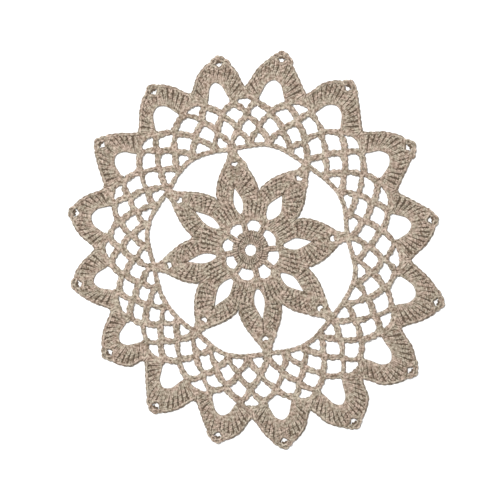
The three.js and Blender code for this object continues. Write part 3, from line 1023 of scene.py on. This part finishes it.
for i, row in enumerate(SCALLOPS):
    top = polar(row["notch"], net_radius(row["notch"], THIRD_ROUND) + SMALL_GAP_RISE)
    net_third.append(chained(net_loop(joint_after(i), top, joint_before(i + 1), 0, SMALL_GAP_DROP)))
    notch = polar(row["notch"], row["notch_radius"])
    place = midway(top, notch)
    knots.append(knot(place, tangent(place)))
    for joint in (joint_after(i), joint_before(i + 1)):
        rise = (notch - joint) / np.linalg.norm(notch - joint)
        knots.append(knot(mix(joint, notch, NOTCH_KNOT), -left_of(rise), NOTCH_KNOT_REACH))

# Stitches of the edging

EDGING_STAGGER = 0.1
edging, edging_bases, scallop_tips = [], [], []
for i, row in enumerate(SCALLOPS):
    base = opening_edge(i)
    edging_bases.append(strand_along(base))
    edging.append(row_of(base, scallop_edge(i), stagger=EDGING_STAGGER, over=EDGE_WRAP_OVER))
    scallop_tips.append(scallop_tip(row))
half = len(edging) // 2

# Ground: thin slabs inside the rows of stitches and tapes inside the chains, knots and creases.

GROUND_LOW = 1.0
GROUND_HIGH = 1.7
GROUND_BASE = 0.1
GROUND_TOP = 0.96
TAPE_HALF_WIDTH = 0.7
# Half width of the dark tapes of painted shade along the creases
CREASE_SHADE_HALF_WIDTH = 1.2
SLAB_STEPS = 30
LONG_ROUTE = 200
LONG_STEPS = 200


def slab(left, right):
    """A closed thin strip between two rows of points."""
    count = len(left)
    flat = np.vstack([left, right, left, right])
    height = np.repeat([GROUND_LOW, GROUND_HIGH], 2 * count)
    a, b, c, d = (np.arange(count) + k * count for k in range(4))

    def wall(p, q):
        return np.stack([p[:-1], q[:-1], q[1:], p[1:]], -1)
    ends = [[a[0], c[0], d[0], b[0]], [b[-1], d[-1], c[-1], a[-1]]]
    faces = np.vstack([wall(a, b), wall(d, c), wall(c, a), wall(b, d), ends])
    return np.column_stack([flat, height]), faces


def row_slab(base, top, count):
    half_stitch = 0.5 / count
    share = np.linspace(half_stitch, 1 - half_stitch, SLAB_STEPS)
    low, high = base.at(share), top.at(share)
    return slab(mix(low, high, GROUND_BASE), mix(low, high, GROUND_TOP))


def tape(route, half_width):
    share = np.linspace(0, 1, LONG_STEPS if route.length > LONG_ROUTE else SLAB_STEPS)
    side = left_of(route.ahead(share)) * half_width
    return slab(route.at(share) + side, route.at(share) - side)


slabs = [row_slab(*row) for row in ROWS]
slabs += [tape(route, TAPE_HALF_WIDTH) for route in CHAINS]
slabs += [tape(route, half_width) for route, half_width in KNOTS]
slabs += [tape(route, CREASE_SHADE_HALF_WIDTH) for route in SHADE_CREASES]
vertices, faces = joined(slabs)
ground_uv = np.zeros((*faces.shape, 2))
# The ground's dark colour is painted shade where it shows between the stitches and in the creases; the
# slabs themselves fill the cloth between the stitches.
ground = mesh_object("doily_ground", vertices, faces, ground_uv, ground_shade, rounded=False)
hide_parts("doily")

STITCHES = [
    yarn_piece("stitches_hub", hub, HUB_YARN_RADIUS),
    yarn_piece("stitches_centre", centre, ROW_YARN_RADIUS),
    yarn_piece("stitches_fans", fans, ROW_YARN_RADIUS),
    yarn_piece("stitches_petals", petals, ROW_YARN_RADIUS),
    yarn_piece("stitches_slits", slits, ROW_YARN_RADIUS),
    yarn_piece("stitches_ring", ring, RING_YARN_RADIUS),
    yarn_piece("stitches_petal_tips", petal_tips, NET_YARN_RADIUS),
    yarn_piece("stitches_scallop_tips", scallop_tips, ROW_YARN_RADIUS),
    yarn_piece("stitches_knots", knots, ROW_YARN_RADIUS),
    yarn_piece("stitches_net_first", net_first, NET_YARN_RADIUS),
    yarn_piece("stitches_net_second", net_second, NET_YARN_RADIUS),
    yarn_piece("stitches_net_third", net_third, NET_YARN_RADIUS),
    yarn_piece("stitches_edging_bases", edging_bases, ROW_YARN_RADIUS),
    yarn_piece("stitches_edging_start", edging[:half], ROW_YARN_RADIUS),
    yarn_piece("stitches_edging_end", edging[half:], ROW_YARN_RADIUS),
]
for piece in [ground, *STITCHES]:
    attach(piece, "root")

# Floor, lights and camera. The floor and the lights are in metres.

FLOOR_HALF = 3.0
FLOOR_COLOR = (0.93, 0.93, 0.93)
FLOOR_ROUGHNESS = 0.8
LIGHTS = [
    dict(name="key", place=(-0.5, 0.6, 1.8), size=0.35, power=38),
    dict(name="fill", place=(0.9, -0.8, 1.9), size=1.6, power=5),
]
SKY_COLOR = (1, 1, 1, 1)
SKY_STRENGTH = 0.5
LENS = 100
SENSOR = 36
FRAME_WIDTH = 450
FRAME_SHIFT = 0.45

corners = [(x * FLOOR_HALF, y * FLOOR_HALF, 0) for x, y in ((-1, -1), (1, -1), (1, 1), (-1, 1))]
floor_mesh = bpy.data.meshes.new("floor")
floor_mesh.from_pydata(corners, [], [(0, 1, 2, 3)])
floor_mesh.materials.append(plain_material("floor", FLOOR_COLOR, FLOOR_ROUGHNESS))
floor = bpy.data.objects.new("floor", floor_mesh)
bpy.context.scene.collection.objects.link(floor)


def area_light(name, place, size, power):
    data = bpy.data.lights.new(name, "AREA")
    data.shape = "DISK"
    data.size = size
    data.energy = power
    lamp = bpy.data.objects.new(name, data)
    lamp.location = place
    lamp.rotation_euler = (-Vector(place)).to_track_quat("-Z", "Y").to_euler()
    bpy.context.scene.collection.objects.link(lamp)


for light in LIGHTS:
    area_light(**light)

world = bpy.data.worlds.new("studio")
world.use_nodes = True
sky = world.node_tree.nodes["Background"]
feed(world.node_tree, sky, {"Color": SKY_COLOR, "Strength": SKY_STRENGTH})
bpy.context.scene.world = world
bpy.context.scene.view_settings.view_transform = "Standard"

camera_data = bpy.data.cameras.new("camera")
camera_data.lens = LENS
camera_data.sensor_width = SENSOR
camera = bpy.data.objects.new("camera", camera_data)
eye = (FLOWER_MIDDLE[0] - FRAME_SHIFT, FLOWER_MIDDLE[1], FRAME_WIDTH * LENS / SENSOR)
camera.location = Vector(eye) * MM
bpy.context.scene.collection.objects.link(camera)
bpy.context.scene.camera = camera
